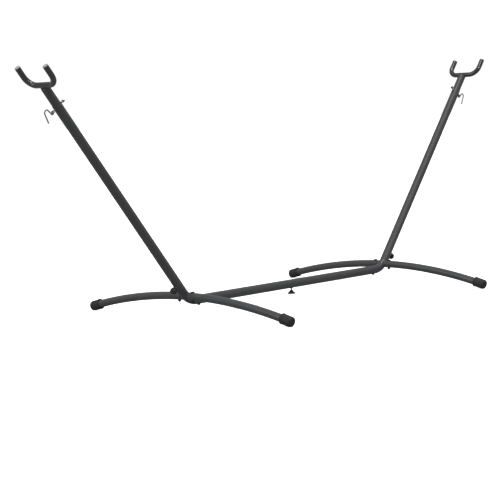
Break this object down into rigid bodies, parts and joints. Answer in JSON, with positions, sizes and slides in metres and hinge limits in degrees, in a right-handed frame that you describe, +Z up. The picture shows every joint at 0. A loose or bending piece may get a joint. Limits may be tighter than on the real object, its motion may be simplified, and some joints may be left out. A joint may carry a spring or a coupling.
{
  "type": "hammock stand",
  "caption": "Free-standing knock-down steel hammock stand: low beam, arched cross feet, leaning uprights with U-shaped forks, eye bolts and open S-hooks.",
  "frame": {"origin": "on the floor, under the middle of the beam and of the levelling foot", "axes": "+X along the beam, +Y across it along the cross feet, +Z up"},
  "size_m": [3.0946, 1.2628, 1.1369],
  "materials": {
    "frame_coat": "charcoal grey powder coat, fine texture, satin",
    "fork_coat": "near-black gloss powder coat",
    "zinc_plate": "bright zinc plate, slightly dulled",
    "black_plate": "black zinc plate, satin",
    "rubber": "matt black moulded rubber",
    "knob_plastic": "black moulded plastic, fine grain",
    "plug_plastic": "light grey moulded plastic"
  },
  "bodies": {
    "stand": {"beam_left": "frame_coat", "beam_nuts": "zinc_plate", "beam_right": "frame_coat", "beam_screws": "black_plate", "cap_left_back": "rubber", "cap_left_front": "rubber", "cap_right_back": "rubber", "cap_right_front": "rubber", "crossbar_left": "frame_coat", "crossbar_right": "frame_coat", "elbow_left": "frame_coat", "elbow_right": "frame_coat", "eye_bolt_left": "zinc_plate", "eye_bolt_right": "zinc_plate", "eye_nut_left": "zinc_plate", "eye_nut_right": "zinc_plate", "foot_insert": "zinc_plate", "fork_left": "fork_coat", "fork_right": "fork_coat", "knob_nut_left": "zinc_plate", "knob_nut_right": "zinc_plate", "leg_bolts": "black_plate", "leg_left_back": "frame_coat", "leg_left_front": "frame_coat", "leg_nuts": "black_plate", "leg_right_back": "frame_coat", "leg_right_front": "frame_coat", "neck_left": "frame_coat", "neck_right": "frame_coat", "plug_left_back": "plug_plastic", "plug_left_front": "plug_plastic", "plug_right_back": "plug_plastic", "plug_right_front": "plug_plastic", "upright_left": "frame_coat", "upright_right": "frame_coat"},
    "foot_pad": {"foot_pad": "rubber"},
    "foot_stud": {"foot_stud": "zinc_plate"},
    "s_hook_left": {"s_hook_left": "zinc_plate"},
    "knob_washer_left": {"knob_washer_left": "zinc_plate"},
    "knob_left": {"knob_left": "knob_plastic", "knob_stud_left": "zinc_plate"},
    "s_hook_right": {"s_hook_right": "zinc_plate"},
    "knob_washer_right": {"knob_washer_right": "zinc_plate"},
    "knob_right": {"knob_right": "knob_plastic", "knob_stud_right": "zinc_plate"}
  },
  "joints": [
    {"name": "hook_left_swing", "type": "hinge", "parent": "stand", "child": "s_hook_left", "pos_m": [-1.43849, 0, 0.93883], "axis": [0, -1, 0], "range_deg": [-15, 75]},
    {"name": "knob_left_travel", "type": "slide", "parent": "stand", "child": "knob_washer_left", "axis": [-0.7826, 0, -0.6225], "range_m": [0, 0.008]},
    {"name": "knob_left_turn", "type": "hinge", "parent": "knob_washer_left", "child": "knob_left", "pos_m": [-0.79356, 0, 0.12933], "axis": [-0.7826, 0, -0.6225], "range_deg": [0, 2305]},
    {"name": "hook_right_swing", "type": "hinge", "parent": "stand", "child": "s_hook_right", "pos_m": [1.43849, 0, 0.93883], "axis": [0, 1, 0], "range_deg": [-15, 75]},
    {"name": "knob_right_travel", "type": "slide", "parent": "stand", "child": "knob_washer_right", "axis": [0.7826, 0, -0.6225], "range_m": [0, 0.008]},
    {"name": "knob_right_turn", "type": "hinge", "parent": "knob_washer_right", "child": "knob_right", "pos_m": [0.79356, 0, 0.12933], "axis": [0.7826, 0, -0.6225], "range_deg": [0, 2305]},
    {"name": "foot_travel", "type": "slide", "parent": "stand", "child": "foot_pad", "axis": [0, 0, 1], "range_m": [-0.027, 0.006]},
    {"name": "foot_turn", "type": "hinge", "parent": "foot_pad", "child": "foot_stud", "pos_m": [0, 0, 0.03037], "axis": [0, 0, 1], "range_deg": [-7777, 1729]}
  ],
  "couplings": [
    {"joint": "knob_left_turn", "follows": "knob_left_travel", "rad_per_m": 5026.5},
    {"joint": "knob_right_turn", "follows": "knob_right_travel", "rad_per_m": 5026.5},
    {"joint": "foot_turn", "follows": "foot_travel", "rad_per_m": 5026.5}
  ]
}
